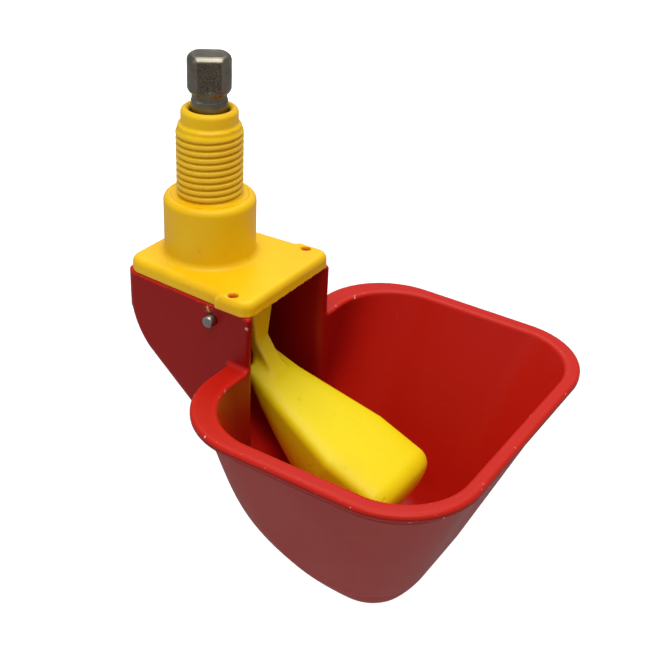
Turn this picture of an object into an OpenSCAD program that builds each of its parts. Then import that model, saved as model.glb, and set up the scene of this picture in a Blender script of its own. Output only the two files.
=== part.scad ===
// Float-valve drinking bowl for a low-pressure water line.
// A moulded bowl hangs from the valve body, whose threaded neck screws up into the supply.
// A steel pin hinges the float, and the float's short lever lifts the valve pin as water is drunk.
// Millimetres, +Z up, +X from the neck towards the bowl, symmetric about Y = 0.
// The origin is on the neck's axis, at the shoulder that the supply seats on.

/* [Supply neck] */
// outside diameter of the supply thread, a G 1/4 pipe thread
thread_d = 13.157; // [12:0.001:16]
// thread pitch, 19 threads to the inch
thread_pitch = 1.337; // [1:0.001:1.8]
// depth of the thread from crest to root
thread_depth = 0.856; // [0.5:0.001:1.1]
// full crests above the shoulder
thread_crests = 10; // [6:1:14]
// height of the plain collar above the thread
collar_h = 2.9; // [2:0.1:5]
// diameter of the water way
bore_d = 7.84; // [6.5:0.02:9.4]
// how far the round boss stands out past the crests
boss_step = 2.64; // [1.5:0.02:4]
// height of the boss above the cover plate
boss_h = 12.5; // [8:0.1:18]

/* [Cover plate] */
// thickness of the plate
plate_t = 3.1; // [2:0.1:3.7]
// from the neck's axis to the rear edge
plate_back = 11.5; // [10:0.1:14]
// how far the front edge passes the hinge
plate_nose = 9.1; // [7:0.1:12]
// how far the ears stand out at the front corners
ear_out = 0.6; // [0.3:0.1:1.5]
// length of an ear along the plate
ear_l = 8; // [7:0.1:11]
// diameter of the two locating holes
ear_hole_d = 2; // [1.4:0.1:2.4]

/* [Housing] */
// outside width at the mouth
housing_w = 28.4; // [27:0.1:34]
// how much narrower the housing is at the back
housing_taper = 3.4; // [0:0.1:4]
// wall thickness of the bowl and the housing
wall = 2; // [1.5:0.1:2.4]
// slope of the floor, in degrees
floor_slope = 37.5; // [32:0.5:45]
// how far the floor lies below the plate's top, measured under the hinge
floor_drop = 31.1; // [28:0.1:38]
// rounding of the lower back corner
back_r = 6; // [3:0.1:9]

/* [Bowl] */
// length of the rim, outside
bowl_l = 58.1; // [48:0.1:70]
// width of the rim, outside
bowl_w = 73.2; // [60:0.1:88]
// height from the rim's top to the underside
bowl_h = 46.3; // [38:0.1:56]
// how far the rim's top lies below the plate's top
rim_drop = 14.7; // [12.2:0.1:18]
// height of the rim's outer face
rim_t = 1.7; // [1.2:0.1:2.5]
// width of the rim's top along the sides
rim_side = 3.4; // [3:0.1:4.5]
// corner radius of the rim, outside
rim_r = 16.4; // [11:0.1:18]
// lean of the side walls, in degrees
side_draft = 23.6; // [15:0.1:26]
// lean of the front wall, in degrees
front_draft = 21; // [12:0.1:24]
// how far the back wall sweeps forward on its way down
back_sweep = 11.5; // [8:0.1:13]
// rounding where the walls meet the base
base_r = 13.2; // [8:0.1:15]

/* [Hinge] */
// from the neck's axis to the hinge pin
lever_l = 10.94; // [9:0.02:13.2]
// how far the hinge lies below the plate's top
hinge_drop = 6.3; // [5.2:0.05:7.8]
// diameter of the hinge pin
hinge_d = 2.4; // [1.9:0.05:2.9]
// how far each end of the pin stands out of the housing
hinge_proud = 1.7; // [0.6:0.1:2.5]
// play all round the pin in the float's hub
hinge_play = 0.08; // [0.03:0.01:0.1]
// play all round the pin in the fixed holes
fixed_play = 0.02; // [0.01:0.01:0.04]

/* [Float] */
// length of the float's flat top
float_l = 41.2; // [34:0.1:46]
// width of the float at its widest
float_w = 21.2; // [17:0.1:25.5]
// greatest depth of the float below its top
float_d = 17.2; // [14:0.1:20.7]
// slope of its top when the bowl is empty, in degrees
float_slope = 22; // [18:0.5:26]
// width of the web between the hub and the float
web_w = 4.3; // [3:0.1:6]

/* [Valve pin] */
// diameter of the round head
head_d = 8.44; // [8.2:0.02:9.6]
// height of the head
head_h = 7.25; // [5:0.05:9]
// width across the two flats on the head
head_flats = 6.8; // [5.6:0.1:7.6]
// how far the pin lifts off its seat
lift = 2.9; // [2:0.05:3.5]
// water gap all round the shank
shank_gap = 0.37; // [0.25:0.01:0.6]
// diameter of the thin stem that reaches the lever
stem_d = 3; // [2.4:0.1:3.6]
// thickness of the rubber seal
seal_t = 1.6; // [1.2:0.1:2.4]

/* [Hidden] */
$fn = 96;

red = [0.72, 0.07, 0.04];
golden = [0.96, 0.74, 0.05];
lemon = [0.94, 0.86, 0.08];
steel = [0.62, 0.60, 0.57];
rubber = [0.10, 0.10, 0.10];

// heights
plate_top = -boss_h;
plate_under = plate_top - plate_t;
hinge_z = plate_top - hinge_drop;
rim_top = plate_top - rim_drop;
bowl_under = rim_top - bowl_h;

// housing in plan: its side walls end at the mouth, where the bowl begins
mouth_x = lever_l + 9.06;
house_x0 = -plate_back - 0.2;
house_r = 2.5;
lip = 0.3;
pad_out = 0.4;
pad_h = 9;
flare = 2.2;
function house_half(x) = (housing_w - housing_taper * (mouth_x - x) / (mouth_x - house_x0)) / 2;

// the floor's inner face
function floor_z(x) = plate_top - floor_drop - (x - lever_l) * tan(floor_slope);

// bowl: the rim outside and inside, then the wall's skin under the rim and at the base
rim_x0 = mouth_x - 4.95;
rim_x1 = rim_x0 + bowl_l;
rim_back = 5;
rim_front = 2.7;
rim_in_w = bowl_w / 2 - rim_side;
skin_x0 = mouth_x - 1.4;
skin_x1 = rim_x1 - 1.9;
skin_w = rim_in_w + 1.5;
skin_top = rim_top - 3.3;
base_x0 = skin_x0 + back_sweep;
long_min = skin_x1 - (skin_top - bowl_under) * tan(front_draft) - base_x0;
wide_min = skin_w - (skin_top - bowl_under) * tan(side_draft);
foot_r = min(base_r, min(0.5 * long_min, 0.8 * wide_min) / cos(side_draft));
foot_h = foot_r * (1 - sin(side_draft));
skin_h = skin_top - bowl_under - foot_h;
base_x1 = skin_x1 - skin_h * tan(front_draft);
base_w = skin_w - skin_h * tan(side_draft);
corner_top = rim_r - 1.8;
corner_base = 0.36 * skin_w;

// locating pegs
peg_x = lever_l + 4.1;
peg_y = house_half(peg_x) - 1.5;
peg_r = ear_hole_d / 2 - 0.12;

// neck: the crests stand at whole pitches above the shoulder
crest_r = thread_d / 2;
root_r = crest_r - thread_depth;
half_crest = 0.15 * thread_pitch;
half_root = 0.43 * thread_pitch;
thread_top = thread_crests * thread_pitch + half_crest;
collar_r = crest_r - 1.01;
collar_z = thread_top + 1.4;
neck_top = collar_z + collar_h;
boss_r = crest_r + boss_step;

// valve: the pin is drawn lifted, with its lever down at the float's end
bore_r = bore_d / 2;
seat_z = plate_top + 13.5;
shank_r = bore_r - shank_gap;
stem_hole_r = stem_d / 2 + 0.8;
seal_z = seat_z + lift + 0.05;
shank_z = seal_z + seal_t;
head_z = neck_top + lift + 0.14;
head_r = max(head_d / 2, bore_r + 0.2);
tip_r = 1.4;
tip_w = 5.2;
tip_x = lever_l - sqrt(pow(lever_l, 2) - pow(lift / 2, 2));
tip_z = hinge_z + lift / 2;
foot_z = tip_z + tip_r + 0.02;

// hinge
hinge_r = hinge_d / 2;
hub_r = min(hinge_drop - plate_t - 0.3, hinge_r + 1.9);
hub_w = 14.4;
lug_w = 3.4;
lug_r = hub_r;
pin_half = house_half(lever_l) + hinge_proud;

// float: the back end of its flat top, then the web's front crease
float_x0 = lever_l + 2.3;
float_z0 = hinge_z - 14.3;
crease_x = lever_l + 2.4;
crease_z = hinge_z - 9.8;
tail_w = 5;
tail_d = 2.3;
nose_r = 4.5;
belly_r = 12;

// ---- outlines and lofts ----

function unit(v) = v / norm(v);
function mix(a, b, t) = a + (b - a) * t;
function cross2(a, b) = a[0] * b[1] - a[1] * b[0];

// a corner's two edges, the angle between them halved, and 1 if it points out of the outline
function to_last(pts, i) = unit(pts[(i + len(pts) - 1) % len(pts)] - pts[i]);
function to_next(pts, i) = unit(pts[(i + 1) % len(pts)] - pts[i]);
function half_angle(pts, i) = acos(to_last(pts, i) * to_next(pts, i)) / 2;
function middle(pts, i) = unit(to_last(pts, i) + to_next(pts, i));
function outward(pts, i) = sign(cross2(to_next(pts, i), to_last(pts, i)));

// an outline moved inwards by k, and its corner radii to match
function inset(pts, k) = [
    for (i = [0:len(pts) - 1]) pts[i] + outward(pts, i) * middle(pts, i) * k / sin(half_angle(pts, i))
];
function inset_radii(pts, radii, k) = [
    for (i = [0:len(pts) - 1]) max(radii[i] - outward(pts, i) * k, 0.2)
];

// an outline whose corners are rounded, each with its own radius
function rounded(pts, radii, steps = 6) = [
    for (i = [0:len(pts) - 1])
        let (
            r = radii[i],
            h = half_angle(pts, i),
            c = pts[i] + middle(pts, i) * r / sin(h),
            s = pts[i] + to_last(pts, i) * r / tan(h) - c,
            e = pts[i] + to_next(pts, i) * r / tan(h) - c,
            a = atan2(s[1], s[0]),
            turn = atan2(cross2(s, e), s * e)
        )
        for (k = [0:steps])
            c + r * [cos(a + turn * k / steps), sin(a + turn * k / steps)]
];

function at_z(outline, z) = [for (p = outline) [p[0], p[1], z]];

// a closed solid through sections that run counter-clockwise, seen from the last one
module loft(sections) {
    n = len(sections[0]);
    m = len(sections);
    sides = [
        for (j = [0:m - 2], i = [0:n - 1], half = [0, 1])
            let (a = j * n + i, b = j * n + (i + 1) % n)
            half == 0 ? [a, a + n, b + n] : [a, b + n, b]
    ];
    first = [for (i = [0:n - 1]) i];
    last = [for (i = [n - 1:-1:0]) (m - 1) * n + i];
    polyhedron(points = [for (s = sections, p = s) p], faces = concat(sides, [first, last]));
}

// a slab whose top edge is rounded by r
module soft_slab(pts, radii, z0, z1, r) {
    loft(concat(
        [at_z(rounded(pts, radii), z0)],
        [
            for (a = [0:30:90])
                let (k = r * (1 - cos(a)))
                at_z(rounded(inset(pts, k), inset_radii(pts, radii, k)), z1 - r + r * sin(a))
        ]
    ));
}

// a prism along Y from an outline of X and Z
module across(half) {
    rotate([90, 0, 0])
        linear_extrude(2 * half, center = true)
            children();
}

// ---- drinking bowl: bowl, housing and pegs, one moulding ----

function box(x0, x1, w) = [[x1, -w], [x1, w], [x0, w], [x0, -w]];

// the wall in plan, k inside its skin and pulled in by a further foot; t is 0 at its top, 1 at its base;
// the back wall stays upright beside the float and sweeps forward only near the base
function wall_plan(t, k, foot = 0) =
    let (
        w = mix(skin_w, base_w, t) - k,
        back = mix(skin_x0, base_x0, pow(t, 5)) + k,
        front = mix(skin_x1, base_x1, t) - k,
        r = mix(corner_top, corner_base, t) - k,
        rb = max(min(r, w - 0.1, 0.55 * (front - back)) - foot, 0.3),
        rf = max(min(r, w - 0.1, 0.44 * (front - back)) - foot, 0.3)
    )
    rounded(box(back + foot, front - foot, w - foot), [rf, rf, rb, rb], 7);

// the foot's rounding and the wall above it, from the base up
function shell(k) = concat(
    [
        for (i = [0:4])
            let (
                r = (foot_h - k) / (1 - sin(side_draft)),
                a = mix(90, side_draft, i / 5)
            )
            at_z(wall_plan(1, k, r * (cos(side_draft) - cos(a))), bowl_under + k + r * (1 - sin(a)))
    ],
    [for (t = [1:-0.125:0]) at_z(wall_plan(t, k), skin_top - skin_h * t)]
);

// the hollow's mouth widens from the wall to the rim's inner edge
function rim_mouth(z) = at_z(
    rounded(box(rim_x0 + rim_back, rim_x1 - rim_front, rim_in_w), (rim_r - 2.8) * [1, 1, 1, 1], 7), z
);

module bowl_outside() {
    loft(concat(shell(0), [at_z(wall_plan(0, 0), rim_top - rim_t / 2)]));
    soft_slab(box(rim_x0, rim_x1, bowl_w / 2), rim_r * [1, 1, 1, 1], rim_top - rim_t, rim_top, 0.5);
}

module bowl_inside() {
    loft(concat(shell(wall), [rim_mouth(rim_top), rim_mouth(rim_top + 1)]));
}

// housing in plan, k inside its skin and open to x1
module house_plan(k, x1) {
    x0 = house_x0 + k;
    w0 = house_half(x0) - k;
    w1 = house_half(x1) - k;
    r = house_r - k;
    polygon(rounded([[x1, -w1], [x1, w1], [x0, w0], [x0, -w0]], [0.5, 0.5, r, r]));
}

// housing from the side, between its back wall, its sloping floor and x1
module house_side(k, x1, top) {
    x0 = house_x0 + k;
    drop = (wall - k) / cos(floor_slope);
    pts = [[x0, top], [x0, floor_z(x0) - drop], [x1, floor_z(x1) - drop], [x1, top]];
    across(bowl_w / 2)
        polygon(rounded(pts, [0.01, back_r - k, 0.01, 0.01]));
}

module house_outside() {
    intersection() {
        union() {
            translate([0, 0, rim_top - 1])
                linear_extrude(plate_under - rim_top + 1)
                    house_plan(0, mouth_x);
            translate([0, 0, bowl_under])
                linear_extrude(bowl_h - 0.5)
                    house_plan(0, mouth_x + 7);
        }
        house_side(0, mouth_x + 7, plate_under);
    }
    // the back wall is thicker above its lower corner
    translate([house_x0 - pad_out, 2 - house_half(house_x0), plate_under - pad_h])
        cube([pad_out + 1, 2 * house_half(house_x0) - 4, pad_h]);
}

// what rounds the inner corners of the mouth
module mouth_flare() {
    y = house_half(mouth_x) - wall;
    for (side = [0, 1])
        mirror([0, side])
            difference() {
                translate([mouth_x - flare, y - 1])
                    square([flare + 1, flare + 1]);
                translate([mouth_x - flare, y + flare])
                    circle(flare);
            }
}

module house_inside() {
    intersection() {
        union() {
            translate([0, 0, bowl_under])
                linear_extrude(-bowl_under)
                    house_plan(wall, mouth_x + 7);
            translate([0, 0, rim_top])
                linear_extrude(-rim_top)
                    mouth_flare();
        }
        house_side(wall, mouth_x + 7, plate_under + 1);
    }
}

module drinking_bowl() {
    color(red)
        difference() {
            union() {
                difference() {
                    union() {
                        bowl_outside();
                        house_outside();
                    }
                    bowl_inside();
                    house_inside();
                }
                // pegs on ribs in the side walls
                for (side = [-1, 1])
                    translate([peg_x, side * peg_y, 0]) {
                        translate([0, 0, plate_under - 4])
                            cylinder(h = 4, r = 1.4);
                        translate([0, 0, plate_under - 1])
                            cylinder(h = plate_t + 0.5, r = peg_r);
                    }
            }
            translate([lever_l, 0, hinge_z])
                rotate([90, 0, 0])
                    cylinder(h = bowl_w, r = hinge_r + fixed_play, center = true);
        }
}

// ---- valve body: plate, boss, threaded neck and hinge lugs, one moulding ----

// one crest's flanks and flat at height z
function crest(z) = [
    [root_r, z - half_root],
    [crest_r, z - half_crest],
    [crest_r, z + half_crest],
    [root_r, z + half_root]
];

// an arc from angle a to b
function arc(x, y, r, a, b) = [for (i = [0:4]) [x + r * cos(mix(a, b, i / 4)), y + r * sin(mix(a, b, i / 4))]];

module neck_outside() {
    rotate_extrude()
        polygon(concat(
            [[0, plate_under + 0.5], [boss_r + 1.2, plate_under + 0.5]],
            arc(boss_r + 1.2, plate_top + 1.2, 1.2, 270, 180),
            arc(boss_r - 1.3, -1.3, 1.3, 0, 90),
            [[crest_r, 0], [crest_r, half_crest], [root_r, half_root]],
            [for (i = [1:thread_crests], p = crest(i * thread_pitch)) p],
            [[crest_r - 0.4, thread_top + 0.6], [crest_r - 0.5, collar_z - 0.4], [collar_r, collar_z]],
            arc(collar_r - 0.9, neck_top - 0.9, 0.9, 0, 90),
            [[0, neck_top]]
        ));
}

module valve_body() {
    front = lever_l + plate_nose;
    ear_x = front - ear_l;
    w0 = house_half(-plate_back) - lip;
    w1 = house_half(ear_x) - lip;
    w2 = house_half(front) - lip + ear_out;
    outline = [
        [front, -w2], [front, w2], [ear_x, w2], [ear_x, w1],
        [-plate_back, w0], [-plate_back, -w0], [ear_x, -w1], [ear_x, -w2]
    ];
    color(golden)
        difference() {
            union() {
                soft_slab(outline, [2.6, 2.6, 0.5, 0.5, 3, 3, 0.5, 0.5], plate_under, plate_top, 1.1);
                neck_outside();
                // lugs that carry the hinge pin on both sides of the float's hub
                for (side = [-1, 1])
                    translate([lever_l, side * (hub_w + lug_w + 0.6) / 2, 0])
                        across(lug_w / 2) {
                            translate([-lug_r, hinge_z])
                                square([2 * lug_r, plate_under + 0.5 - hinge_z]);
                            translate([0, hinge_z])
                                circle(lug_r);
                        }
            }
            // water way, its rounded lip and the hole for the stem
            translate([0, 0, seat_z])
                cylinder(h = neck_top, r = bore_r);
            translate([0, 0, neck_top - 0.6])
                cylinder(h = 0.7, r1 = bore_r, r2 = bore_r + 0.5);
            translate([0, 0, plate_under - 1])
                cylinder(h = seat_z - plate_under + 2, r = stem_hole_r);
            // hinge holes and locating holes
            translate([lever_l, 0, hinge_z])
                rotate([90, 0, 0])
                    cylinder(h = housing_w, r = hinge_r + fixed_play, center = true);
            for (side = [-1, 1])
                translate([peg_x, side * peg_y, plate_under - 1]) {
                    cylinder(h = plate_t + 2, r = ear_hole_d / 2);
                    translate([0, 0, plate_t + 0.6])
                        cylinder(h = 0.5, r1 = ear_hole_d / 2, r2 = ear_hole_d / 2 + 0.45);
                }
        }
}

// ---- hinge pin ----

module hinge_pin() {
    color(steel)
        translate([lever_l, 0, hinge_z])
            rotate([90, 0, 0])
                for (side = [0, 1])
                    mirror([0, 0, side]) {
                        cylinder(h = pin_half - 0.2, r = hinge_r);
                        translate([0, 0, pin_half - 0.2])
                            cylinder(h = 0.2, r1 = hinge_r, r2 = hinge_r - 0.2);
                    }
}

// ---- float: hub, lever, web and buoyant body, one moulding ----

// along = distance down the top from its back end, under = distance below the top
function float_at(along, under) = [
    float_x0 + along * cos(float_slope) - under * sin(float_slope),
    float_z0 - along * sin(float_slope) - under * cos(float_slope)
];

// how far a rounding of radius r has pulled a surface in, over the last r of the length
function pull(s, r) = s > float_l - r ? r - sqrt(max(pow(r, 2) - pow(s - float_l + r, 2), 0)) : 0;

// a section of the body: a flat top with soft edges over a full, round belly
function float_section(s) =
    let (
        widest = 0.63 * float_l,
        w = mix(tail_w, float_w / 2, min(s / widest, 1)) - pull(s, nose_r),
        top = pull(s, nose_r) * 0.9,
        under = mix(tail_d, float_d, sin(90 * min(s / (0.68 * float_l), 1))) - pull(s, belly_r),
        edge = top + min(2.6, 0.45 * (under - top))
    )
    [
        for (a = [7.5:15:360])
            let (
                upper = sin(a) > 0,
                y = w * sign(cos(a)) * pow(abs(cos(a)), upper ? 0.5 : 0.8),
                d = upper ? edge - (edge - top) * pow(sin(a), 0.5) : edge + (under - edge) * pow(-sin(a), 0.85),
                p = float_at(s, d)
            )
            [p[0], y, p[1]]
    ];

module float_body() {
    stations = concat([0.05, 1, 3, 6], [for (k = [0.25:0.1:0.65]) k * float_l]);
    nose = [for (a = [0:12:84]) float_l - belly_r * (1 - sin(a))];
    loft([for (s = concat(stations, nose, [float_l - 0.01])) float_section(s)]);
}

module float() {
    strip = float_at(5.2, 0.2);
    keel = float_at(4, tail_d);
    heel = float_at(0.3, tail_d - 0.6);
    color(lemon)
        difference() {
            union() {
                float_body();
                // web down from the hub, narrowing to the float
                intersection() {
                    across(hub_w / 2)
                        polygon([
                            [lever_l - 2, hinge_z - 1.2], heel, keel, strip,
                            [crease_x, crease_z], [crease_x + 0.1, hinge_z - 1.2]
                        ]);
                    rotate([90, 0, 90])
                        linear_extrude(4 * lever_l)
                            polygon([
                                [-web_w / 2, crease_z - 20], [web_w / 2, crease_z - 20],
                                [web_w / 2, crease_z], [web_w / 2 + 1.8, hinge_z],
                                [-web_w / 2 - 1.8, hinge_z], [-web_w / 2, crease_z]
                            ]);
                }
                translate([lever_l, 0, hinge_z])
                    rotate([90, 0, 0])
                        cylinder(h = hub_w, r = hub_r, center = true);
                // lever from the hub to its round tip under the valve pin
                across(tip_w / 2) {
                    translate([tip_x, tip_z])
                        circle(tip_r);
                    polygon([
                        [tip_x, tip_z - tip_r], [lever_l, hinge_z - 0.8 * hub_r],
                        [lever_l, hinge_z + hub_r - 0.05], [tip_x, tip_z + tip_r / 2]
                    ]);
                }
            }
            translate([lever_l, 0, hinge_z])
                rotate([90, 0, 0])
                    cylinder(h = hub_w + 2, r = hinge_r + hinge_play, center = true);
        }
}

// ---- valve pin and its seal, drawn lifted off the seat ----

module valve_pin() {
    color(steel) {
        intersection() {
            rotate_extrude()
                polygon([
                    [0, head_z], [head_r - 0.5, head_z], [head_r, head_z + 0.8],
                    [head_r, head_z + head_h - 1.3], [head_r - 0.2, head_z + head_h - 0.6],
                    [head_r - 0.6, head_z + head_h - 0.15], [head_r - 1.2, head_z + head_h],
                    [0, head_z + head_h]
                ]);
            rotate([0, 0, 38])
                translate([-head_r, -head_flats / 2, head_z])
                    cube([2 * head_r, head_flats, head_h]);
        }
        rotate_extrude()
            polygon(concat([[0, foot_z]], arc(0, foot_z + stem_d / 2, stem_d / 2, 285, 360), [
                [stem_d / 2, shank_z], [shank_r - 0.3, shank_z], [shank_r, shank_z + 0.3],
                [shank_r, head_z - 1.8], [shank_r - 0.12, head_z - 1.6],
                [shank_r - 0.12, head_z - 0.3], [shank_r, head_z - 0.1],
                [shank_r, head_z + 0.5], [0, head_z + 0.5]
            ]));
    }
}

module valve_seal() {
    color(rubber)
        translate([0, 0, seal_z])
            difference() {
                cylinder(h = seal_t, r = shank_r - 0.15);
                translate([0, 0, -1])
                    cylinder(h = seal_t + 2, r = stem_d / 2 + 0.02);
            }
}

drinking_bowl();
valve_body();
hinge_pin();
float();
valve_pin();
valve_seal();
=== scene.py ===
from math import cos, hypot, pi, radians, sin, sqrt, tan

import bpy
import numpy as np
from mathutils import Matrix, Vector


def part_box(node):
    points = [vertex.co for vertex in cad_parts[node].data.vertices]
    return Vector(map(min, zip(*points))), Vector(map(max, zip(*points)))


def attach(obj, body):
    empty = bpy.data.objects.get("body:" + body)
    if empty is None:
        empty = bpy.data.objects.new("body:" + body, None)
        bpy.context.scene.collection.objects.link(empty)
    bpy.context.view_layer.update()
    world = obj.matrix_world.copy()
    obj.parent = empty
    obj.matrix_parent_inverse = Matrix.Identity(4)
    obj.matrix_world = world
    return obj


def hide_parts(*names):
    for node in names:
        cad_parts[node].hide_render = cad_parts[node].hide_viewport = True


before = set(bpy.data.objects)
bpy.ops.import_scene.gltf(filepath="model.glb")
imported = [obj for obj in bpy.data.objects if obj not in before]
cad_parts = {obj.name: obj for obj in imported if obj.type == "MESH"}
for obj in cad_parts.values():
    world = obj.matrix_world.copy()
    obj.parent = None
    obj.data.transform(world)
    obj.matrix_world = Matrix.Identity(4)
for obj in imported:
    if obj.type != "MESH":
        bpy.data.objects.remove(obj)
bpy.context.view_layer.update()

# ---- Drinking bowl ----
# The bowl, its flat rim and the housing behind it are one injection moulding in red polypropylene.
# The walls lean for the draw of the mould, every edge is softened, and two pegs locate the cover.
# All sizes are in millimetres, in the frame whose origin is the shoulder under the supply thread.


def both(a, b, r):
    """The part inside both solids, with the edge where their skins meet rounded by r."""
    outside = np.hypot(np.maximum(a + r, 0), np.maximum(b + r, 0))
    return outside + np.minimum(np.maximum(a, b) + r, 0) - r


def either(a, b, r):
    """Two solids joined, with a fillet of radius r where their skins meet."""
    return -both(-a, -b, r)


def drilled(solid, hole, r=0.0):
    """A solid less a hole, with the hole's edge rounded by r."""
    return both(solid, -hole, r)


def settle(solid, points, step, rounds):
    """Moves points onto the skin of a solid, along the slope of its distance."""
    reach = 0.02
    for _ in range(rounds):
        value = solid(*points.T)
        slopes = [solid(*(points + d).T) - solid(*(points - d).T) for d in reach * np.eye(3)]
        slope = np.stack(slopes, 1) / (2 * reach)
        move = slope * (value / np.maximum((slope ** 2).sum(1), 0.05))[:, None]
        points = points - np.clip(move, -step / 2, step / 2)
    return points


def cast(name, solid, low, high, step, evenings=4):
    """Moulds a piece: a mesh of even quads on the skin where the solid's distance is zero."""
    axes = [np.arange(a - 2 * step, b + 2 * step, step) for a, b in zip(low, high)]
    layers = np.array_split(axes[0], max(1, len(axes[0]) // 12))
    value = np.concatenate([solid(*np.meshgrid(x, *axes[1:], indexing="ij")) for x in layers])
    inside = value < 0
    # one point in each cell that the skin crosses, amid the crossings of the cell's edges
    corners = [(i, j, k) for i in (0, 1) for j in (0, 1) for k in (0, 1)]
    cells = [n - 1 for n in inside.shape]
    count = np.zeros(cells, np.int8)
    for i, j, k in corners:
        count += inside[i:i + cells[0], j:j + cells[1], k:k + cells[2]]
    crossed = (count > 0) & (count < 8)
    cell = np.argwhere(crossed)
    total, hits = np.zeros((len(cell), 3)), np.zeros(len(cell))
    for axis in range(3):
        for corner in corners:
            if corner[axis]:
                continue
            start = cell + corner
            end = start + np.eye(3, dtype=int)[axis]
            a, b = value[tuple(start.T)], value[tuple(end.T)]
            cut = (a < 0) != (b < 0)
            share = np.where(cut, a / np.where(cut, a - b, 1), 0)
            total += cut[:, None] * (start + share[:, None] * np.eye(3)[axis])
            hits += cut
    points = total / hits[:, None] * step + [axis[0] for axis in axes]
    # a quad round each of the grid's edges that the skin crosses
    number = np.full(crossed.shape, -1)
    number[crossed] = np.arange(len(cell))
    quads = []
    for axis in range(3):
        solid_at, cell_at = np.moveaxis(inside, axis, 0), np.moveaxis(number, axis, 0)
        change = (solid_at[1:] != solid_at[:-1])[:, 1:-1, 1:-1]
        ring = (cell_at[:, :-1, :-1], cell_at[:, 1:, :-1], cell_at[:, 1:, 1:], cell_at[:, :-1, 1:])
        quad = np.stack(ring, -1)[change]
        outward = solid_at[:-1, 1:-1, 1:-1][change] != (axis == 1)
        quads.append(np.where(outward[:, None], quad, quad[:, ::-1]))
    quads = np.concatenate(quads)
    # the points even out along the skin and settle back onto it
    sides = np.concatenate([quads[:, [i, (i + 1) % 4]] for i in range(4)])
    links = np.unique(np.sort(sides, 1), axis=0)
    ends = np.concatenate([links, links[:, ::-1]])
    near = np.bincount(ends[:, 0], minlength=len(points))

    def average(values):
        sums = [np.bincount(ends[:, 0], v[ends[:, 1]], len(points)) for v in values.T]
        return np.stack(sums, 1) / near[:, None]

    points = settle(solid, points, step, 3)
    for _ in range(evenings):
        points = settle(solid, (points + average(points)) / 2, step, 2)
    # how sharply the skin turns out at each point, which says where it wears
    mesh = bpy.data.meshes.new(name)
    mesh.from_pydata((points / 1000).tolist(), [], quads.tolist())
    mesh.shade_smooth()
    normals = np.zeros(len(points) * 3)
    mesh.vertex_normals.foreach_get("vector", normals)
    bulge = ((points - average(points)) * normals.reshape(-1, 3)).sum(1, keepdims=True)
    bulge = average(average(bulge))[:, 0] / step
    mesh.attributes.new("edge", "FLOAT", "POINT").data.foreach_set("value", bulge.astype(np.float32))
    piece = bpy.data.objects.new(name, mesh)
    bpy.context.scene.collection.objects.link(piece)
    return piece


def millimetres(node):
    """The lowest and highest corner of a piece of the frame."""
    return [1000 * np.array(corner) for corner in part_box(node)]


bowl_low, bowl_high = millimetres("drinking_bowl")
plate_low, plate_high = millimetres("valve_body")
pin_low, pin_high = millimetres("hinge_pin")

# heights and the hinge
peg_proud, rim_drop = 2.6, 11.6
bowl_under = bowl_low[2]
plate_under = bowl_high[2] - peg_proud
rim_top = plate_under - rim_drop
hinge_x, hinge_z = (pin_low[0] + pin_high[0]) / 2, (pin_low[2] + pin_high[2]) / 2
hinge_hole_r = 1.22

# housing: its half width grows from the back wall to the mouth, and its floor runs down to the bowl
wall = 2.0
pad_proud, pad_h, pad_in, pad_r = 0.4, 9.0, 0.9, 1.2
house_x0 = bowl_low[0] + pad_proud
mouth_x = hinge_x + 9.06
mouth_half, narrowing = 14.2, 1.7
back_edge_r, side_edge_r = 6, 2.0
floor_drop, slope = 28.0, radians(37.5)
below_rim, overlap = 7, 1


def house_half(x):
    """Half the housing's width at x."""
    return mouth_half - narrowing * (mouth_x - x) / (mouth_x - house_x0)


def house_skin(x, y, z, k):
    """The housing, k inside its outer skin and open at its top and its mouth."""
    floor = (plate_under - floor_drop - (x - hinge_x) * tan(slope) - z) * cos(slope) - wall + k
    profile = both(house_x0 - x + k, floor, back_edge_r - k)
    return both(abs(y) - house_half(x) + k, profile, side_edge_r - 0.5 * k)


# rim and wall: t runs from 0 under the rim to 1 where the foot begins
rim_x1, rim_half = bowl_high[0], bowl_high[1]
rim_x0 = mouth_x - 4.95
rim_t, rim_r, rim_soft = 1.7, 16.4, 0.6
lip_back, lip_front, lip_side, lip_corner = 1.5, 2.7, 3.4, 2.8
skin_top = rim_top - 3.3
skin_back, skin_front, skin_half = mouth_x - 1.4, rim_x1 - 1.9, rim_half - 1.9
skin_corner = rim_r - 1.8
side_draft, front_draft, back_sweep = radians(23.6), radians(21), 11.5
base_r, foot_r = 13.2, 9.6
foot_h = base_r * (1 - sin(side_draft))
skin_h = skin_top - bowl_under - foot_h
base_front = skin_front - skin_h * tan(front_draft)
base_half = skin_half - skin_h * tan(side_draft)
base_corner = 0.36 * skin_half
edge_r, hollow_edge_r = 0.3, 0.4
rim_fillet, house_fillet, throat_fillet = 1.2, 0.9, 1.7


def plan(x, y, back, front, half, back_r, front_r):
    """A rounded box seen from above."""
    middle = (back + front) / 2
    r = np.where(x < middle, back_r, front_r)
    return both(abs(x - middle) - (front - back) / 2, abs(y) - half, r)


def basin(x, y, z, k, top, back, front, half, corner):
    """A basin whose walls run straight from its mouth to the base, k inside the bowl's outer skin there."""
    t = np.clip((top - z) / (top - bowl_under - foot_h), 0, 1.25)
    # the back wall drops almost straight and sweeps forward near the foot
    back = back + (skin_back + back_sweep + k - back) * np.minimum(t, 1.08) ** 5
    front = front + (base_front - k - front) * t
    half = half + (base_half - k - half) * t
    corner = np.minimum(corner + (base_corner - k - corner) * t, half - 0.1)
    back_r = np.minimum(corner, 0.55 * (front - back))
    front_r = np.minimum(corner, 0.44 * (front - back))
    walls = plan(x, y, back, front, half, back_r, front_r) * cos(side_draft)
    return both(walls, bowl_under + k - z, foot_r - 0.6 * k)


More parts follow.
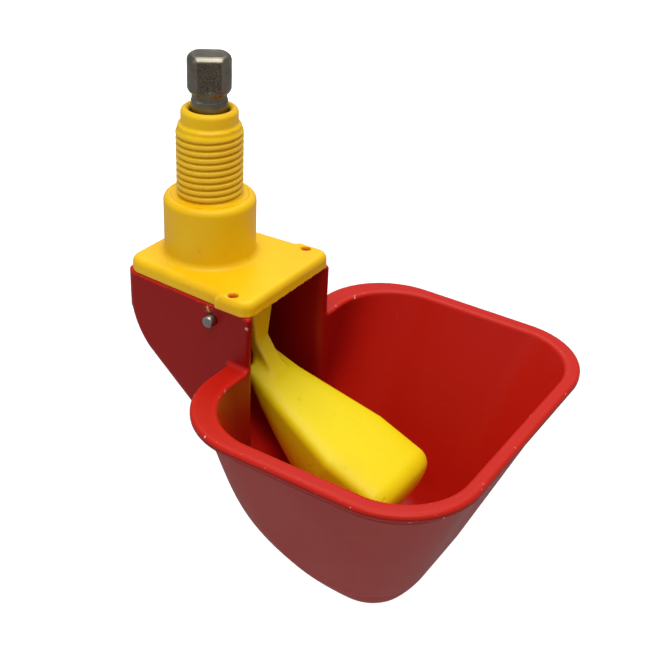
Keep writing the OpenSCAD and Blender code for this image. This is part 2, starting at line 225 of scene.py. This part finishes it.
def bowl_moulding(x, y, z):
    """Rim, wall, foot, housing and pegs in one, less the hollow and the hinge's holes."""
    rim = plan(x, y, rim_x0, rim_x1, rim_half, rim_r, rim_r)
    rim = both(rim, abs(z - rim_top + rim_t / 2) - rim_t / 2, rim_soft)
    shell = basin(x, y, z, 0, skin_top, skin_back, skin_front, skin_half, skin_corner)
    shell = np.maximum(shell, z - rim_top + rim_t / 2)
    body = either(shell, rim, rim_fillet)
    # the housing stops at its mouth above the rim and runs on into the bowl below it
    house_front = x - np.where(z > rim_top - overlap, mouth_x, mouth_x + below_rim)
    house = both(both(house_skin(x, y, z, 0), house_front, edge_r), z - plate_under, edge_r)
    pad_half = house_half(house_x0) - pad_in
    pad = both(house_x0 - pad_proud - x, abs(y) - pad_half, pad_r)
    pad = both(pad, abs(z - plate_under + pad_h / 2) - pad_h / 2, edge_r)
    house = either(house, np.maximum(pad, x - house_x0 - overlap), edge_r)
    body = either(body, house, house_fillet)
    # the hollow starts at the rim's inner edge and runs into the housing's
    hollow_back, hollow_front, hollow_half = skin_back + lip_back, rim_x1 - lip_front, rim_half - lip_side
    hollow = basin(x, y, z, wall, rim_top, hollow_back, hollow_front, hollow_half, rim_r - lip_corner)
    inner = np.maximum(house_skin(x, y, z, wall), x - mouth_x - below_rim)
    body = drilled(body, either(hollow, inner, throat_fillet), hollow_edge_r)
    for side in (-1, 1):
        peg = np.hypot(x - peg_x, y - side * peg_y)
        rib = both(peg - rib_r, abs(z - plate_under + rib_h / 2) - rib_h / 2, 0.2)
        body = either(body, rib, edge_r)
        body = np.minimum(body, both(peg - peg_r, abs(z - bowl_high[2] + peg_h / 2) - peg_h / 2, 0.25))
    return np.maximum(body, hinge_hole_r - np.hypot(x - hinge_x, z - hinge_z))


peg_x, peg_r, peg_h = hinge_x + 4.1, 0.88, 3.6
rib_r, rib_h = 1.4, 4
peg_y = house_half(peg_x) - 1.5
bowl = cast("bowl_moulding", bowl_moulding, bowl_low, bowl_high, step=0.47)


class Value:
    """A socket in a finish. Sums, differences and products of it are Math nodes."""

    def __init__(self, finish, socket):
        self.finish = finish
        self.socket = socket

    def math(self, operation, *terms):
        return self.finish.node("Math", {"operation": operation}, dict(enumerate(terms)))

    def __add__(self, other):
        return self.math("ADD", self, other)

    def __sub__(self, other):
        return self.math("SUBTRACT", self, other)

    def __rsub__(self, other):
        return self.math("SUBTRACT", other, self)

    def __mul__(self, other):
        return self.math("MULTIPLY", self, other)

    __radd__ = __add__
    __rmul__ = __mul__

    def ramp(self, low, high):
        """0 below low, 1 above high, and a smooth rise between them."""
        smooth = {"interpolation_type": "SMOOTHSTEP"}
        return self.finish.node("MapRange", smooth, {0: self, 1: low, 2: high})


class Finish:
    """A material with a Principled shader. Values that are the same all over go on its own sockets."""

    def __init__(self, name, **fixed):
        self.material = bpy.data.materials.new(name)
        self.material.use_nodes = True
        self.tree = self.material.node_tree
        self.shader = self.tree.nodes["Principled BSDF"]
        for key, value in fixed.items():
            socket = key.replace("_", " ").title().replace("Ior", "IOR")
            self.feed(self.shader, {socket: value})
        self.place = self.node("TexCoord", output=3)

    def feed(self, node, inputs):
        for key, value in inputs.items():
            if isinstance(value, Value):
                self.tree.links.new(value.socket, node.inputs[key])
            else:
                node.inputs[key].default_value = value

    def node(self, kind, settings=None, inputs=None, output=0):
        """A node of a kind: its settings are made first, then its sockets' values or links."""
        made = self.tree.nodes.new("ShaderNode" + kind)
        for key, value in (settings or {}).items():
            setattr(made, key, value)
        self.feed(made, inputs or {})
        return Value(self, made.outputs[output])

    def noise(self, size, detail=2.0, stretch=(1, 1, 1), shift=0.0, rough=0.5):
        """Noise whose patches are about size millimetres across."""
        place = self.node("Mapping", {}, {0: self.place, 1: (shift, shift, shift), 3: stretch})
        inputs = {"Vector": place, "Scale": 1000 / size, "Detail": detail, "Roughness": rough}
        return self.node("TexNoise", {}, inputs)

    def edge(self, low, high):
        """1 where the skin turns out sharply."""
        return self.node("Attribute", {"attribute_name": "edge"}, output=2).ramp(low, high)

    def spot(self, place, inner, outer):
        """1 within inner millimetres of a place, falling to 0 at outer."""
        place = [c / 1000 for c in place]
        away = self.node("VectorMath", {"operation": "DISTANCE"}, {0: self.place, 1: place}, 1)
        return 1 - (away * 1000).ramp(inner, outer)

    def mix(self, share, a, b):
        return self.node("Mix", {"data_type": "RGBA"}, {0: share, 6: a, 7: b}, 2)

    def bump(self, height, depth, under=None):
        """A relief whose full height is depth millimetres."""
        inputs = {"Height": height, "Distance": depth / 1000, "Strength": 1.0}
        if under:
            inputs["Normal"] = under
        return self.node("Bump", {}, inputs)

    def surface(self, colour, roughness, normal):
        self.feed(self.shader, {"Base Color": colour, "Roughness": roughness, "Normal": normal})


def scratches(finish, length, shift):
    """Fine straight marks in two directions, about length millimetres long."""
    marks = 0
    for turn, stretch in enumerate(((1, 22, 14), (18, 1, 26), (16, 24, 1))):
        line = finish.noise(length, 2.0, stretch, shift + 0.031 * turn, 0.6)
        marks = line.ramp(0.70, 0.74) + marks
    return marks


def red_plastic():
    """Pigmented polypropylene: clouds and streaks from the mould, hairlines, dust and nicked edges."""
    finish = Finish("red_polypropylene", specular_ior_level=0.15)
    cloud = finish.noise(34, 3.0)
    streak = finish.noise(9, 3.0, (1, 1, 0.22), 0.02)
    grain = finish.noise(0.55, 3.0, shift=0.05)
    marks = scratches(finish, 16, 0.4)
    sheen_patches = finish.noise(13, 4.0, (1, 1, 0.5), 0.3, 0.62)
    # The tone follows the way a face looks: painted shade darkens it unless it looks up, and a painted pale
    # reflection greys it too if it looks down.
    # Both are set to stand in for shade and a pale reflection, and aren't known to be the plastic's own
    # colour.
    height = finish.node("SeparateXYZ", {}, {0: finish.node("NewGeometry", output=1)}, 2)
    upright = 1 - height.ramp(0.02, 0.30)
    bloom_and_painted_sheen = (height * -1.0).ramp(0.02, 0.42) * (sheen_patches.ramp(0.30, 0.75) * 0.5 + 0.5)
    # two small marks, by the hinge pin and on the mouth's edge, then worn edges and dust all over
    pick = finish.spot((hinge_x - 0.9, -house_half(hinge_x), hinge_z + 1.8), 0.3, 1.3)
    pick = pick * finish.noise(0.7, 2.0, shift=0.15).ramp(0.50, 0.56)
    chip = finish.spot((mouth_x - 0.5, -house_half(mouth_x), hinge_z + 1.1), 0.1, 0.5)
    chip = chip * finish.noise(0.5, 2.0, shift=0.35).ramp(0.36, 0.46)
    nick = finish.edge(0.035, 0.075) * finish.noise(1.3, 3.0, shift=0.7, rough=0.7).ramp(0.66, 0.72)
    dust = finish.noise(0.5, 1.0, shift=0.9).ramp(0.80, 0.84)
    dust = dust * finish.noise(5, 1.0, shift=0.2).ramp(0.55, 0.7)
    colour = finish.mix(cloud, (0.46, 0.008, 0.003, 1), (0.54, 0.013, 0.005, 1))
    colour = finish.mix(streak * 0.25, colour, (0.36, 0.006, 0.003, 1))
    colour = finish.mix(finish.edge(0.01, 0.08) * 0.2, colour, (0.64, 0.03, 0.012, 1))
    # painted shade on faces that don't look up, then a painted pale reflection on faces that look down
    colour = finish.mix(upright * 0.85, colour, (0.26, 0.004, 0.003, 1))
    colour = finish.mix(bloom_and_painted_sheen * 0.35, colour, (0.38, 0.11, 0.085, 1))
    colour = finish.mix(pick, colour, (0.80, 0.34, 0.08, 1))
    colour = finish.mix(chip, colour, (0.80, 0.55, 0.50, 1))
    colour = finish.mix(marks * 0.03, colour, (0.60, 0.14, 0.10, 1))
    colour = finish.mix(dust * 0.5, colour, (0.75, 0.52, 0.46, 1))
    colour = finish.mix(nick * 0.8, colour, (0.85, 0.66, 0.58, 1))
    roughness = 0.30 + cloud * 0.08 + grain * 0.06 + bloom_and_painted_sheen * 0.12 + marks * 0.12 + nick * 0.3
    relief = finish.bump(grain * 0.5 + finish.noise(2.4, 2.0, shift=0.6) * 0.9, 0.035)
    relief = finish.bump(1 - marks * 0.15 - nick, 0.05, relief)
    finish.surface(colour, roughness, relief)
    return finish.material


bowl.data.materials.append(red_plastic())
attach(bowl, "fixed")
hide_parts("drinking_bowl")

# ---- Valve body ----
# One injection moulding in golden polypropylene: the cover plate over the housing, the round boss, and
# the neck with a right-hand thread that screws into the supply. Two lugs below carry the hinge.

crest_r, pitch, turns_cut = 6.5785, 1.337, 10.15
thread_depth = 0.856
groove_depth = 0.8 * thread_depth
crest_share, flank_share, flank_lean = 0.40, 0.58, 0.82
thread_top = turns_cut * pitch
collar_h, collar_in = 2.9, 1.01
neck_top = plate_high[2]
collar_z = neck_top - collar_h
plate_t, plate_lip, plate_corner = 3.1, 0.1, 2.4
plate_top = plate_under + plate_t
plate_back, plate_front, plate_half = plate_low[0], plate_high[0], plate_high[1]
ear_l = 8
ear_x = plate_front - ear_l
plate_back_r, plate_edge_r, plate_foot_r = 3.0, 1.5, 0.4
boss_r = crest_r + 2.64
neck_edge_r, boss_edge_r = 0.95, 1.35
neck_fillet, boss_fillet, ear_fillet, lug_fillet = 0.12, 1.3, 0.6, 0.4
seam_r = crest_r + 1.15
bore_r, bore_lip, seat_z, stem_hole_r = 3.92, 1.0, 1.0, 2.3
hub_half, lug_r, lug_out, lug_t = 7.2, 2.9, 2.0, 3.4
into_plate = 0.5
peg_hole_r = 1.0


def valve_moulding(x, y, z):
    """Neck, boss, plate and lugs in one, less the water way and the holes."""
    out = np.hypot(x, y)
    # the thread: broad round crests, narrow roots, running out under the collar
    turn = z / pitch - np.arctan2(y, x) / (2 * pi)
    away = abs(turn - np.round(turn)) * 2
    groove = np.clip((away - crest_share) / flank_share, 0, 1)
    groove = groove * groove * (3 - 2 * groove)
    fade = np.interp(z, [thread_top - 1.2, thread_top + 0.9], [1, 0])
    stations = [0, thread_top - 0.3, thread_top + 0.3, collar_z - 0.5, collar_z]
    taper = np.interp(z, stations, [0, 0, 0.36, 0.42, collar_in])
    inwards = np.maximum(groove_depth * groove * fade, taper)
    neck = (out - crest_r + inwards) * flank_lean
    neck = both(neck, z - neck_top, neck_edge_r)
    boss = both(out - boss_r, z, boss_edge_r)
    body = either(boss, neck, neck_fillet)
    # the plate with an ear at each front corner
    main = both(abs(y) - house_half(x) + plate_lip, plate_back - x, plate_back_r)
    ears = np.maximum(both(abs(y) - plate_half, x - plate_front, plate_corner), ear_x - x)
    outline = either(both(main, x - plate_front, plate_corner), ears, ear_fillet)
    # a little ragged flash along the foot of the front edge
    flash = 0.10 + 0.07 * np.sin(2.1 * y) + 0.06 * np.sin(4.7 * y + 1)
    flash = flash * (1 - np.clip((z - plate_under - 0.2) / 0.5, 0, 1)) - 0.22
    outline = outline - flash * np.clip((x - plate_front + 3) / 2, 0, 1)
    slab = both(both(outline, z - plate_top, plate_edge_r), plate_under - z, plate_foot_r)
    body = either(np.maximum(body, plate_under + into_plate - z), slab, boss_fillet)
    lug = np.where(z < hinge_z, np.hypot(x - hinge_x, z - hinge_z), abs(x - hinge_x)) - lug_r
    lug = np.maximum(lug, z - plate_under - into_plate)
    lug = both(lug, abs(abs(y) - hub_half - lug_out) - lug_t / 2, edge_r)
    body = either(body, lug, lug_fillet)
    # water way, stem hole, hinge holes and the two locating holes
    body = drilled(body, np.maximum(out - bore_r, seat_z - z), bore_lip)
    body = drilled(body, out - stem_hole_r, 0.2)
    body = np.maximum(body, hinge_hole_r - np.hypot(x - hinge_x, z - hinge_z))
    hole = np.hypot(x - peg_x, abs(y) - peg_y) - peg_hole_r
    return drilled(body, np.maximum(hole, plate_under - overlap - z), 0.45)


def darker(colour, share):
    """A colour with its light cut to a share."""
    return [share * c for c in colour[:3]] + [1]


def yellow_plastic(name, light, deep, scuff, roughness, seed, seam=None, **fixed):
    """Pigmented polypropylene: faint flow clouds, an eggshell grain, hairlines and scuffed edges.

    A seam is the radius of a broken dark line about the neck's axis.
    """
    finish = Finish(name, specular_ior_level=0.22, **fixed)
    cloud = finish.noise(15, 3.0, shift=seed)
    grain = finish.noise(0.45, 3.0, shift=seed + 0.1)
    marks = scratches(finish, 9, seed + 0.2)
    dent = finish.noise(1.7, 2.0, shift=seed + 0.5).ramp(0.69, 0.74)
    rubbed = finish.edge(0.03, 0.10)
    colour = finish.mix(cloud.ramp(0.25, 0.75), light, deep)
    colour = finish.mix(rubbed * 0.30, colour, scuff)
    colour = finish.mix(marks * 0.10, colour, scuff)
    if seam:
        flat = finish.node("VectorMath", {"operation": "MULTIPLY"}, {0: finish.place, 1: (1000, 1000, 0)})
        out = finish.node("VectorMath", {"operation": "LENGTH"}, {0: flat}, 1)
        line = finish.node("Math", {"operation": "COMPARE"}, {0: out, 1: seam, 2: 0.07}) * 0.5
        broken = finish.noise(4, 1.0, shift=seed + seam).ramp(0.50, 0.56)
        colour = finish.mix(line * broken, colour, darker(deep, 0.35))
    colour = finish.mix(dent * 0.18, colour, darker(deep, 0.55))
    rough = roughness + cloud * 0.08 + grain * 0.06 + marks * 0.12 + dent * 0.1
    relief = finish.bump(grain * 0.6 + finish.noise(2.0, 2.0, shift=seed + 0.7) * 0.8, 0.03)
    relief = finish.bump(1 - marks * 0.4 - dent, 0.05, relief)
    finish.surface(colour, rough, relief)
    return finish.material


body = cast("valve_moulding", valve_moulding, plate_low, plate_high, step=0.235)
golden = yellow_plastic(
    "golden_polypropylene",
    light=(0.88, 0.55, 0.004, 1),
    deep=(0.84, 0.47, 0.003, 1),
    scuff=(0.95, 0.70, 0.10, 1),
    roughness=0.30,
    seed=1.1,
    seam=seam_r,
    subsurface_weight=0.08,
    subsurface_radius=(0.004, 0.002, 0.0004),
    subsurface_scale=0.3,
)
body.data.materials.append(golden)
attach(body, "fixed")
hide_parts("valve_body")

# ---- Hinge pin ----
# A length of steel wire pressed through the housing and the lugs. Its cut ends are ground flat and
# stand out a little at each side.


def lathe(name, outline, turns=64, closed=False):
    """Turns an outline of (radius, height) points about Z."""
    angles = [2 * pi * k / turns for k in range(turns)]
    points = [(r * cos(a) / 1000, r * sin(a) / 1000, z / 1000) for r, z in outline for a in angles]
    rings = len(outline)
    faces = []
    for j in range(rings if closed else rings - 1):
        for k in range(turns):
            n, a, b = (k + 1) % turns, j * turns, (j + 1) % rings * turns
            faces.append((a + k, a + n, b + n, b + k))
    if not closed:
        faces += [tuple(reversed(range(turns))), tuple(range((rings - 1) * turns, rings * turns))]
    mesh = bpy.data.meshes.new(name)
    mesh.from_pydata(points, [], faces)
    mesh.shade_smooth()
    mesh.set_sharp_from_angle(angle=radians(50))
    piece = bpy.data.objects.new(name, mesh)
    bpy.context.scene.collection.objects.link(piece)
    return piece


def steel(name, light, dark, mottle, roughness, seed, pressed=0.0):
    """Dull plated steel: turned smooth, with faint rings, darker and mottled where it was pressed flat."""
    finish = Finish(name, metallic=1.0)
    cloud = finish.noise(3.5, 3.0, shift=seed)
    ring = finish.noise(2.2, 2.0, (0.2, 0.2, 9), seed + 0.4)
    mottled = finish.noise(mottle, 3.0, shift=seed + 0.2, rough=0.6).ramp(0.42, 0.60)
    speck = finish.noise(0.8, 3.0, shift=seed + 0.6).ramp(0.70, 0.78)
    flat = finish.node("Attribute", {"attribute_name": "pressed"}, output=2) * pressed
    colour = finish.mix(cloud.ramp(0.3, 0.7) * 0.8, light, dark)
    colour = finish.mix(flat * (0.55 + mottled * 0.45), colour, dark)
    colour = finish.mix(flat * mottled * 0.55, colour, darker(dark, 0.28))
    colour = finish.mix(speck * 0.5, colour, (0.12, 0.075, 0.045, 1))
    rough = roughness + cloud * 0.10 + ring * 0.05 + flat * 0.17 + speck * 0.2
    relief = finish.bump(ring * 0.5, 0.012)
    relief = finish.bump(mottled * flat, 0.035, relief)
    finish.surface(colour, rough, relief)
    return finish.material


pin_r = (pin_high[0] - pin_low[0]) / 2
pin_half = pin_high[1]
pin_end = [
    (pin_r - 0.35, pin_half),
    (pin_r - 0.28, pin_half - 0.02),
    (pin_r - 0.1, pin_half - 0.1),
    (pin_r, pin_half - 0.28),
]
pin_stations = [(pin_r, h) for h in np.linspace(0.9, -0.9, 9) * pin_half]
pin = lathe("hinge_wire", [(r, -h) for r, h in pin_end] + pin_stations[::-1] + pin_end[::-1], 48)
pin.data.transform(Matrix.Translation((hinge_x / 1000, 0, hinge_z / 1000)) @ Matrix.Rotation(-pi / 2, 4, "X"))
bright_wire = steel(
    "bright_wire",
    light=(0.50, 0.48, 0.44, 1),
    dark=(0.30, 0.29, 0.26, 1),
    mottle=0.6,
    roughness=0.24,
    seed=3.3,
)
pin.data.materials.append(bright_wire)
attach(pin, "fixed")
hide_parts("hinge_pin")

# ---- Float ----
# A light moulding in lemon yellow polypropylene: a hub on the hinge pin, a short lever under the valve
# pin, and a web that broadens into the buoyant body, flat on top with a full round belly.

float_l, float_half, float_d = 41.2, 10.6, 17.2
float_slope = radians(22)
float_x0, float_z0 = hinge_x + 2.3, hinge_z - 14.3
tail_half, tail_d, nose_r, belly_r = 5.0, 2.3, 4.5, 12.0
widest_at, deepest_at = 0.63 * float_l, 0.68 * float_l
top_square, side_round, belly_round = 3.2, 2.5, 2.35
crease_x, crease_z = hinge_x + 2.4, hinge_z - 9.8
hub_r, hub_hole_r, web_half, tip_half, tip_r = 2.9, 1.28, 2.15, 2.6, 1.4
tip_up, web_spread = 1.45, 1.8
tip_x, tip_z = hinge_x - sqrt(hinge_x ** 2 - tip_up ** 2), hinge_z + tip_up


def float_at(along, under):
    """A point of the float from the side: along its top, and under it."""
    return (
        float_x0 + along * cos(float_slope) - under * sin(float_slope),
        float_z0 - along * sin(float_slope) - under * cos(float_slope),
    )


def pull(s, r):
    """How far a rounding of radius r draws the skin in, over the last r of the length."""
    past = np.clip(s - float_l + r, 0, r)
    return r - np.sqrt(r * r - past * past)


def beyond(x, z, p, q):
    """Distance outside the line from p to q, whose inside is on its left."""
    along = hypot(q[0] - p[0], q[1] - p[1])
    return ((x - p[0]) * (q[1] - p[1]) - (z - p[1]) * (q[0] - p[0])) / along


def float_moulding(x, y, z):
    """Hub, lever, web and buoyant body in one, bored for the hinge pin."""
    # buoyant body
    s = (x - float_x0) * cos(float_slope) - (z - float_z0) * sin(float_slope)
    d = -(x - float_x0) * sin(float_slope) - (z - float_z0) * cos(float_slope)
    half = tail_half + (float_half - tail_half) * np.clip(s / widest_at, 0, 1) - pull(s, nose_r)
    top = 0.9 * pull(s, nose_r)
    depth = tail_d + (float_d - tail_d) * np.sin(pi / 2 * np.clip(s / deepest_at, 0, 1)) - pull(s, belly_r)
    edge = top + np.minimum(3.4, 0.45 * (depth - top))
    above = abs(y / half) ** top_square + abs((edge - d) / (edge - top)) ** top_square
    above = above ** (1 / top_square)
    below = (abs(y / half) ** side_round + abs((d - edge) / (depth - edge)) ** belly_round) ** 0.41
    scale = np.where(d < edge, edge - top, np.minimum(half, depth - edge))
    hull = (np.where(d < edge, above, below) - 1) * scale
    hull = both(both(hull, s - float_l, 1.6), -s, 0.4)
    # web, from the hub down to the body
    heel, keel, strip = float_at(0.3, tail_d - 0.6), float_at(4, tail_d), float_at(5.2, 0.2)
    high_back, high_front, crease = (hinge_x - 2, hinge_z), (crease_x + 0.1, hinge_z), (crease_x, crease_z)
    face = either(beyond(x, z, crease, high_front), beyond(x, z, strip, crease), 0.2)
    back = both(beyond(x, z, high_back, heel), beyond(x, z, heel, keel), 1.0)
    web = both(both(face, back, 0.5), np.maximum(beyond(x, z, keel, strip), z - hinge_z), 0.3)
    spread = web_spread * np.clip((z - crease_z) / (hinge_z - crease_z), 0, 1)
    web = both(web, abs(y) - web_half - spread, 0.5)
    # hub and lever
    hub = both(np.hypot(x - hinge_x, z - hinge_z) - hub_r, abs(y) - hub_half, 0.35)
    tip = np.hypot(x - tip_x, z - tip_z) - tip_r
    low_tip, high_tip = (tip_x, tip_z - tip_r), (tip_x, tip_z + tip_r / 2)
    low_hub, high_hub = (hinge_x, hinge_z - 0.8 * hub_r), (hinge_x, hinge_z + hub_r - 0.05)
    bar = np.maximum(beyond(x, z, low_tip, low_hub), beyond(x, z, high_hub, high_tip))
    bar = np.maximum(bar, np.maximum(tip_x - x, x - hinge_x))
    lever = both(np.minimum(tip, bar), abs(y) - tip_half, 0.4)
    body = either(either(hub, lever, 0.5), web, 0.8)
    body = either(body, hull, 1.4)
    return np.maximum(body, hub_hole_r - np.hypot(x - hinge_x, z - hinge_z))


float_low, float_high = millimetres("float")
buoy = cast("float_moulding", float_moulding, float_low, float_high, step=0.3)
lemon = yellow_plastic(
    "lemon_polypropylene",
    light=(0.84, 0.69, 0.006, 1),
    deep=(0.80, 0.64, 0.004, 1),
    scuff=(0.92, 0.80, 0.15, 1),
    roughness=0.34,
    seed=5.1,
    subsurface_weight=0.12,
    subsurface_radius=(0.004, 0.003, 0.0005),
    subsurface_scale=0.4,
)
buoy.data.materials.append(lemon)
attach(buoy, "float")
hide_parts("float")

# ---- Valve pin ----
# Turned from steel bar: a heavy head with two pressed flats sits above the neck, a shank slides in the
# bore, and a thin stem reaches down to the float's lever.

pin_bottom, pin_top = millimetres("valve_pin")
head_r, head_h, flat_half = 4.22, 7.25, 3.4
head_z = pin_top[2] - head_h
shank_r, stem_r, shank_z, into_head = 3.55, 1.5, 5.55, 0.6
head_edge_r, dish_r, dish_up = 1.15, 9.0, 8.88
neck_in_d, neck_in_z, neck_in_h = 0.16, 0.85, 0.62
flats_turn = radians(38)


def turned_pin(x, y, z):
    """Head, shank and stem in one, with two flats across the head."""
    out = np.hypot(x, y)
    across = abs(-x * sin(flats_turn) + y * cos(flats_turn))
    under = (head_z - z) * 0.62 + (out - head_r + 0.4) * 0.78
    round_head = both(both(out - head_r, z - pin_top[2], head_edge_r), np.maximum(under, head_z - z), 0.22)
    # each flat leans in to the top and the bottom by a short bevel
    high_bevel = (z - pin_top[2] + 0.15) * 0.62 + (across - flat_half + 0.50) * 0.78
    low_bevel = (head_z - z + 0.05) * 0.60 + (across - flat_half + 0.12) * 0.80
    flats = both(both(across - flat_half, high_bevel, 0.12), low_bevel, 0.15)
    head = both(round_head, flats, 0.3)
    # its top is dished by a shallow sphere, and the shank is necked in just under the head
    head = both(head, dish_r - np.hypot(out, z - pin_top[2] - dish_up), 0.3)
    neck_in = neck_in_d * np.exp(-((z - head_z + neck_in_z) / neck_in_h) ** 8)
    shank = np.maximum(both(out - shank_r + neck_in, shank_z - z, 0.3), z - head_z - into_head)
    stem = np.where(z < pin_bottom[2] + stem_r, np.hypot(out, z - pin_bottom[2] - stem_r), out) - stem_r
    stem = np.maximum(stem, z - shank_z - overlap)
    return either(either(head, shank, 0.25), stem, 0.2)


valve_pin = cast("valve_pin_turned", turned_pin, pin_bottom, pin_top, step=0.15)
skin = np.array([v.co for v in valve_pin.data.vertices]) * 1000
lean = abs(-skin[:, 0] * sin(flats_turn) + skin[:, 1] * cos(flats_turn))
pressed = (lean > flat_half - 0.03) & (skin[:, 2] > head_z + 0.5)
pressed_marks = valve_pin.data.attributes.new("pressed", "FLOAT", "POINT")
pressed_marks.data.foreach_set("value", pressed.astype(np.float32))
dull_steel = steel(
    "dull_plated_steel",
    light=(0.27, 0.24, 0.185, 1),
    dark=(0.15, 0.13, 0.095, 1),
    mottle=0.26,
    roughness=0.24,
    seed=7.7,
    pressed=1.0,
)
valve_pin.data.materials.append(dull_steel)
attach(valve_pin, "valve_pin")
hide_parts("valve_pin")

# ---- Valve seal ----
# A moulded ring of black rubber, pushed onto the stem and up against the shank. It travels with the
# valve pin and closes on the seat when the float is up.

seal_low, seal_high = millimetres("valve_seal")


def seal_outline(inner, outer, low, high, soft=0.28):
    """A rounded section, walked once round."""
    middles = [
        (outer - soft, high - soft, 0),
        (inner + soft, high - soft, 90),
        (inner + soft, low + soft, 180),
        (outer - soft, low + soft, 270),
    ]
    return [
        (r + soft * cos(radians(a + 22.5 * k)), z + soft * sin(radians(a + 22.5 * k)))
        for r, z, a in middles for k in range(5)
    ]


def black_rubber():
    """Dull black rubber with a paler bloom in patches."""
    finish = Finish("black_rubber", specular_ior_level=0.4)
    grain = finish.noise(0.3, 4.0)
    bloom_and_painted_sheen = finish.noise(1.5, 3.0, shift=0.3)
    colour = finish.mix(bloom_and_painted_sheen.ramp(0.4, 0.8), (0.012, 0.012, 0.012, 1), (0.05, 0.048, 0.045, 1))
    finish.surface(colour, 0.55 + bloom_and_painted_sheen * 0.25, finish.bump(grain, 0.04))
    return finish.material


seal = lathe("seal_ring", seal_outline(stem_r + 0.02, seal_high[0], seal_low[2], seal_high[2]), closed=True)
seal.data.materials.append(black_rubber())
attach(seal, "valve_pin")
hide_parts("valve_seal")

# ---- Studio ----
# A pale sweep of paper with a light of its own, one broad soft light overhead, a weaker one from the
# front left, and a long lens. The paper is kept out of the gloss, so it doesn't wash out the colours.


def sweep():
    """Paper that runs back along the floor and curves up behind."""
    floor_z = bowl_under / 1000 - 0.12
    half, front_y, back_y, bend, lift = 4.0, -3.0, 3.6, 0.8, 1.2
    profile = [(front_y, floor_z), (back_y - bend, floor_z)]
    for a in range(6, 91, 6):
        y = back_y - bend + bend * sin(radians(a))
        profile.append((y, floor_z + bend * (1 - cos(radians(a)))))
    profile.append((back_y, floor_z + bend + lift))
    points = [(x, y, z) for y, z in profile for x in (-half, half)]
    mesh = bpy.data.meshes.new("paper_sweep")
    strips = [(2 * k, 2 * k + 1, 2 * k + 3, 2 * k + 2) for k in range(len(profile) - 1)]
    mesh.from_pydata(points, [], strips)
    mesh.shade_smooth()
    paper = bpy.data.objects.new("paper_sweep", mesh)
    bpy.context.scene.collection.objects.link(paper)
    finish = Finish("white_paper", specular_ior_level=0.2)
    tooth = finish.noise(1.2, 4.0)
    colour = finish.mix(tooth, (0.90, 0.90, 0.89, 1), (0.93, 0.93, 0.925, 1))
    roughness = 0.85 + tooth * 0.05
    finish.surface(colour, roughness, finish.bump(tooth, 0.05))
    mesh.materials.append(finish.material)
    paper.visible_glossy = False
    return paper


def softbox(name, place, aim, size, power, spread=pi):
    """An oblong soft light at a place, turned towards an aim."""
    light = bpy.data.lights.new(name, "AREA")
    light.shape = "RECTANGLE"
    light.size, light.size_y = size
    light.energy = power
    light.spread = spread
    lamp = bpy.data.objects.new(name, light)
    bpy.context.scene.collection.objects.link(lamp)
    lamp.location = place
    lamp.rotation_euler = (Vector(aim) - Vector(place)).to_track_quat("-Z", "Y").to_euler()


sweep()
centre = (0.03, 0, -0.03)
softbox("overhead", (0.10, -0.10, 0.62), centre, (0.6, 0.6), 4.4)
softbox("front_left", (-0.45, -0.75, 0.35), centre, (0.5, 0.5), 0.5)
softbox("paper_light", (-0.6, 1.1, 0.9), (-0.45, 0.9, -0.2), (1.2, 1.2), 9.0, spread=1.4)

world = bpy.data.worlds.new("studio")
bpy.context.scene.world = world
world.use_nodes = True
world.node_tree.nodes["Background"].inputs["Color"].default_value = (0.95, 0.97, 1.0, 1)
world.node_tree.nodes["Background"].inputs["Strength"].default_value = 0.36

azimuth, elevation, roll = radians(31.418), radians(30.495), radians(2.965)
back = Vector((sin(azimuth) * cos(elevation), -cos(azimuth) * cos(elevation), sin(elevation)))
level = Vector((cos(azimuth), sin(azimuth), 0))
upright = back.cross(level)
right = level * cos(roll) + upright * sin(roll)
up = upright * cos(roll) - level * sin(roll)
camera = bpy.data.objects.new("camera", bpy.data.cameras.new("camera"))
bpy.context.scene.collection.objects.link(camera)
camera.data.sensor_width, camera.data.lens = 36.0, 64.62
stand = Matrix.Translation((0.130711, -0.167868, 0.095513))
camera.matrix_world = stand @ Matrix((right, up, back)).transposed().to_4x4()
camera.data.clip_start, camera.data.clip_end = 0.01, 20
bpy.context.scene.camera = camera
bpy.context.scene.view_settings.view_transform = "Standard"
